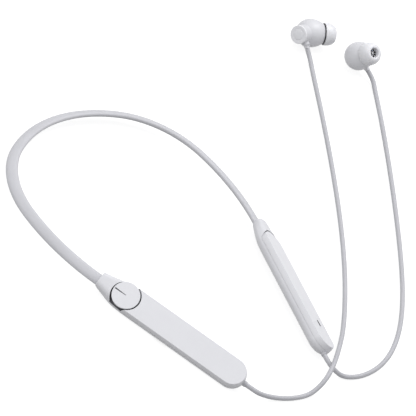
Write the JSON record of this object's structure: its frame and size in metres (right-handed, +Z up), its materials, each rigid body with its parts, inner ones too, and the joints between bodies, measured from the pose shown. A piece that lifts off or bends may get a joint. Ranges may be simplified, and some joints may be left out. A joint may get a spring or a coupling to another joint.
{
  "type": "neckband earphones",
  "caption": "Horseshoe neckband with a rolled control module at each end, a turning and pressing dial, and thin cables to in-ear buds with soft tips.",
  "frame": {"origin": "on the surface the part lies on, under the centre of its bounding box without the cable tubes", "axes": "+Z up from the surface, +Y from the module ends towards the nape of the neckband, +X from the neckband towards the earbuds"},
  "size_m": [0.3164, 0.2311, 0.0267],
  "materials": {
    "shell": "soft satin moulded plastic",
    "dial": "satin moulded plastic",
    "band": "soft-touch silicone",
    "cable": "smooth soft jacket",
    "ear_tip": "soft silicone",
    "steel": "plain",
    "mesh": "fine woven",
    "dark_plastic": "plain moulded",
    "board": "solder mask",
    "foil": "pouch foil",
    "copper": "lacquered",
    "magnet": "plated"
  },
  "bodies": {
    "neckband": {"band_lead_ribbon": "copper", "dial_bearing_plate": "dark_plastic", "dial_seat": "dark_plastic", "dial_sensor": "dark_plastic", "dial_switch": "dark_plastic", "left_battery": "foil", "left_board_screw_inner": "steel", "left_board_screw_outer": "steel", "left_bud_cap": "shell", "left_bud_cap_magnet": "magnet", "left_bud_front_shell": "shell", "left_bud_rear_shell": "shell", "left_cable": "cable", "left_circuit_board": "board", "left_cover": "shell", "left_diaphragm": "dark_plastic", "left_driver_basket": "dark_plastic", "left_driver_magnet": "magnet", "left_grommet": "cable", "left_housing": "shell", "left_neck_ring": "dark_plastic", "left_nozzle_mesh": "mesh", "left_strain_relief": "cable", "left_voice_coil": "copper", "memory_wire": "steel", "microphone_mesh": "mesh", "neckband_skin": "band", "right_battery": "foil", "right_board_screw_inner": "steel", "right_board_screw_outer": "steel", "right_bud_cap": "shell", "right_bud_cap_magnet": "magnet", "right_bud_front_shell": "shell", "right_bud_rear_shell": "shell", "right_cable": "cable", "right_circuit_board": "board", "right_cover": "shell", "right_diaphragm": "dark_plastic", "right_driver_basket": "dark_plastic", "right_driver_magnet": "magnet", "right_grommet": "cable", "right_housing": "shell", "right_microphone": "dark_plastic", "right_neck_ring": "dark_plastic", "right_nozzle_mesh": "mesh", "right_strain_relief": "cable", "right_voice_coil": "copper", "usb_shell": "steel", "usb_tongue": "dark_plastic"},
    "dial_plunger": {"dial_retaining_ring": "steel", "dial_stem": "dark_plastic"},
    "dial": {"dial_knob": "dial", "dial_rotor": "dark_plastic"},
    "left_tip": {"left_ear_tip": "ear_tip"},
    "right_tip": {"right_ear_tip": "ear_tip"}
  },
  "joints": [
    {"name": "dial_press", "type": "slide", "parent": "neckband", "child": "dial_plunger", "axis": [0.4742, 0.1633, -0.8652], "range_m": [0, 0.0004], "stiffness_N_per_m": 3000},
    {"name": "dial_turn", "type": "hinge", "parent": "dial_plunger", "child": "dial", "pos_m": [-0.14459, -0.02896, 0.00943], "axis": [-0.4742, -0.1633, 0.8652], "continuous": true},
    {"name": "left_tip_pull", "type": "slide", "parent": "neckband", "child": "left_tip", "axis": [0.828, -0.5365, 0.1628], "range_m": [0, 0.012]},
    {"name": "right_tip_pull", "type": "slide", "parent": "neckband", "child": "right_tip", "axis": [-0.1376, -0.5959, 0.7912], "range_m": [0, 0.012]}
  ]
}
